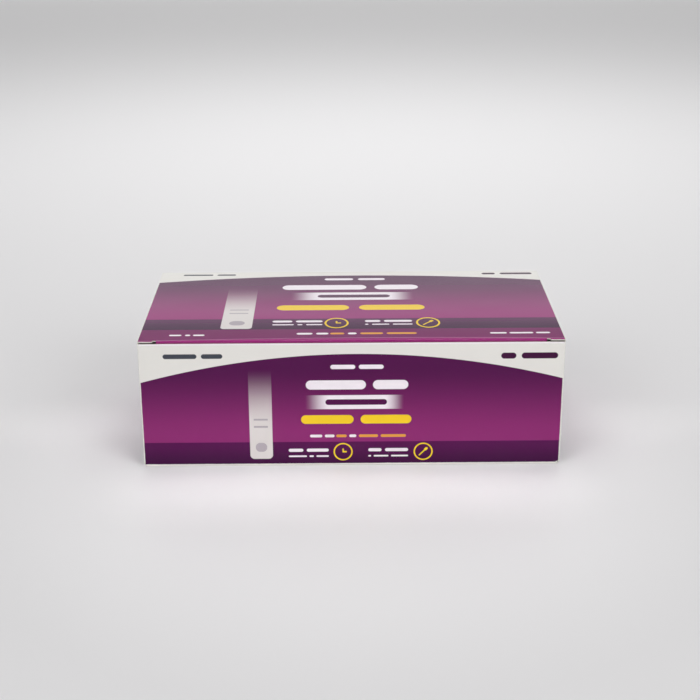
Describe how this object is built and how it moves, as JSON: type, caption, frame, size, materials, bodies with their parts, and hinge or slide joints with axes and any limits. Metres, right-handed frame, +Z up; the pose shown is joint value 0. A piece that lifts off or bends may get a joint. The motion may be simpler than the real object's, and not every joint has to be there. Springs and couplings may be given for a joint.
{
  "type": "diagnostic test kit carton",
  "caption": "Low oblong boxboard carton with a hinged tuck lid, packed with foil test pouches, wrapped swabs, a rack of capped buffer vials and a folded leaflet",
  "frame": {"origin": "middle of the closed carton's bottom, where it stands", "axes": "+X along the carton's width towards its right end, -Y out of the front panel, +Z up"},
  "size_m": [0.24, 0.126, 0.077],
  "materials": {
    "printed_boxboard": "satin",
    "plain_boxboard": "matte",
    "printed_sheet": "matte",
    "foil_laminate": "satin",
    "wrapper_paper": "matte",
    "vial_plastic": "satin",
    "cap_plastic": "satin"
  },
  "bodies": {
    "packed_carton": {"carton": "printed_boxboard", "leaflet": "printed_sheet", "vial_rack": "plain_boxboard", "pouch_01": "foil_laminate", "pouch_02": "foil_laminate", "pouch_03": "foil_laminate", "pouch_04": "foil_laminate", "pouch_05": "foil_laminate", "pouch_06": "foil_laminate", "pouch_07": "foil_laminate", "pouch_08": "foil_laminate", "pouch_09": "foil_laminate", "pouch_10": "foil_laminate", "pouch_11": "foil_laminate", "pouch_12": "foil_laminate", "pouch_13": "foil_laminate", "pouch_14": "foil_laminate", "pouch_15": "foil_laminate", "pouch_16": "foil_laminate", "pouch_17": "foil_laminate", "pouch_18": "foil_laminate", "pouch_19": "foil_laminate", "pouch_20": "foil_laminate", "swab_01": "wrapper_paper", "swab_02": "wrapper_paper", "swab_03": "wrapper_paper", "swab_04": "wrapper_paper", "swab_05": "wrapper_paper", "swab_06": "wrapper_paper", "swab_07": "wrapper_paper", "swab_08": "wrapper_paper", "swab_09": "wrapper_paper", "swab_10": "wrapper_paper", "swab_11": "wrapper_paper", "swab_12": "wrapper_paper", "swab_13": "wrapper_paper", "swab_14": "wrapper_paper", "swab_15": "wrapper_paper", "swab_16": "wrapper_paper", "swab_17": "wrapper_paper", "swab_18": "wrapper_paper", "swab_19": "wrapper_paper", "swab_20": "wrapper_paper", "vials_row_1": "vial_plastic", "vials_row_2": "vial_plastic", "vials_row_3": "vial_plastic", "vials_row_4": "vial_plastic", "vials_row_5": "vial_plastic", "caps_row_1": "cap_plastic", "caps_row_2": "cap_plastic", "caps_row_3": "cap_plastic", "caps_row_4": "cap_plastic", "caps_row_5": "cap_plastic"},
    "tuck_lid": {"lid": "printed_boxboard"}
  },
  "joints": [
    {"name": "lid_hinge", "type": "hinge", "parent": "packed_carton", "child": "tuck_lid", "pos_m": [0, 0.063, 0.077], "axis": [-1, 0, 0], "range_deg": [0, 200]}
  ]
}
